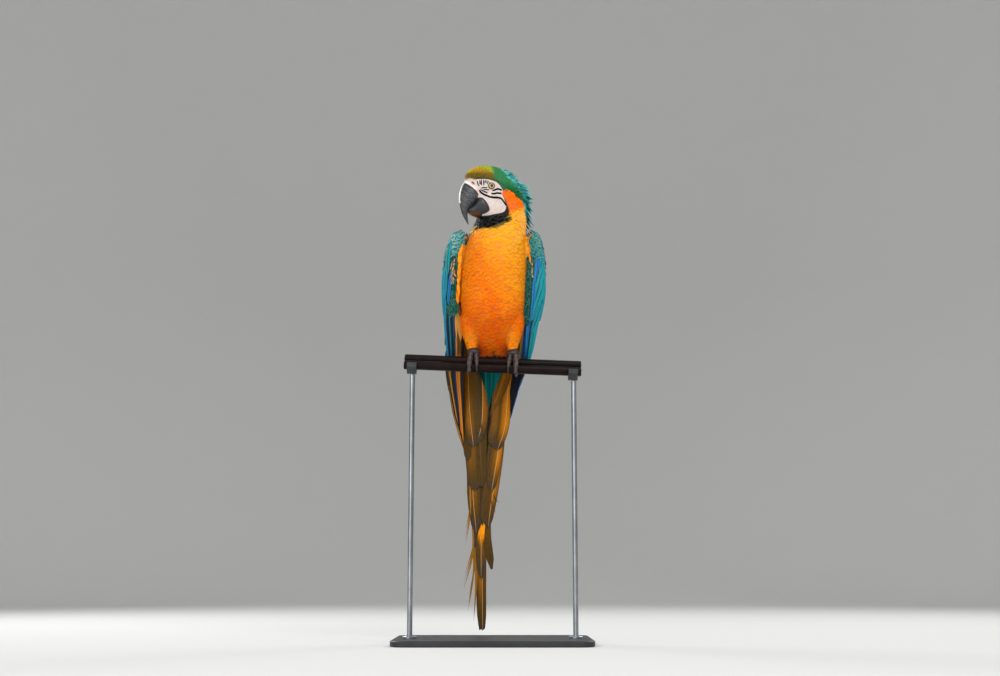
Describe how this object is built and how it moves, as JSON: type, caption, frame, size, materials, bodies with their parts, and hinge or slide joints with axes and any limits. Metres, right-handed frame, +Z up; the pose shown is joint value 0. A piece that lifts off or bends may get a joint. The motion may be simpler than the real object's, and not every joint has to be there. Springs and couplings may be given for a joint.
{
  "type": "perched macaw model",
  "caption": "Life-size blue-and-gold macaw with folded wings and a long hanging tail, gripping a short double bar on a plain display stand.",
  "frame": {"origin": "centre of the base's underside", "axes": "+Z up, the bird faces -Y with its head turned to its right, and its left side is +X; the perch runs along X"},
  "size_m": [0.33, 0.236, 0.8214],
  "materials": {
    "gold_plumage": "soft contour feathers, golden orange",
    "turquoise_plumage": "soft contour feathers, turquoise blue",
    "blue_plumage": "smooth flight feathers, blue above",
    "olive_tail": "smooth tail feathers, olive gold below and blue above",
    "green_crown": "fine crown feathers, green at the forehead and turquoise behind",
    "bare_skin": "bare cream white skin with lines of tiny black feathers",
    "bill": "black horn with a low sheen",
    "claw": "black horn with a low sheen",
    "eye": "wet, pale yellow iris round a black pupil",
    "foot_skin": "scaly dark grey skin",
    "perch_paint": "dark brown paint, worn",
    "stand_paint": "satin charcoal paint",
    "stand_rod": "brushed"
  },
  "bodies": {
    "root": {"head": "green_crown", "neck": "gold_plumage", "torso": "gold_plumage", "back": "turquoise_plumage", "rump": "turquoise_plumage", "tail": "olive_tail", "bill_upper": "bill", "bill_lower": "bill", "face_left": "bare_skin", "eye_left": "eye", "thigh_left": "gold_plumage", "wing_left_arm": "turquoise_plumage", "wing_left_hand": "blue_plumage", "foot_left": "foot_skin", "claw_left_outer_front": "claw", "claw_left_inner_front": "claw", "claw_left_outer_rear": "claw", "claw_left_inner_rear": "claw", "stand_rod_left": "stand_rod", "stand_saddle_left": "stand_paint", "face_right": "bare_skin", "eye_right": "eye", "thigh_right": "gold_plumage", "wing_right_arm": "turquoise_plumage", "wing_right_hand": "blue_plumage", "foot_right": "foot_skin", "claw_right_outer_front": "claw", "claw_right_inner_front": "claw", "claw_right_outer_rear": "claw", "claw_right_inner_rear": "claw", "stand_rod_right": "stand_rod", "stand_saddle_right": "stand_paint", "perch_bar_upper": "perch_paint", "perch_bar_lower": "perch_paint", "stand_base": "stand_paint"}
  },
  "joints": []
}
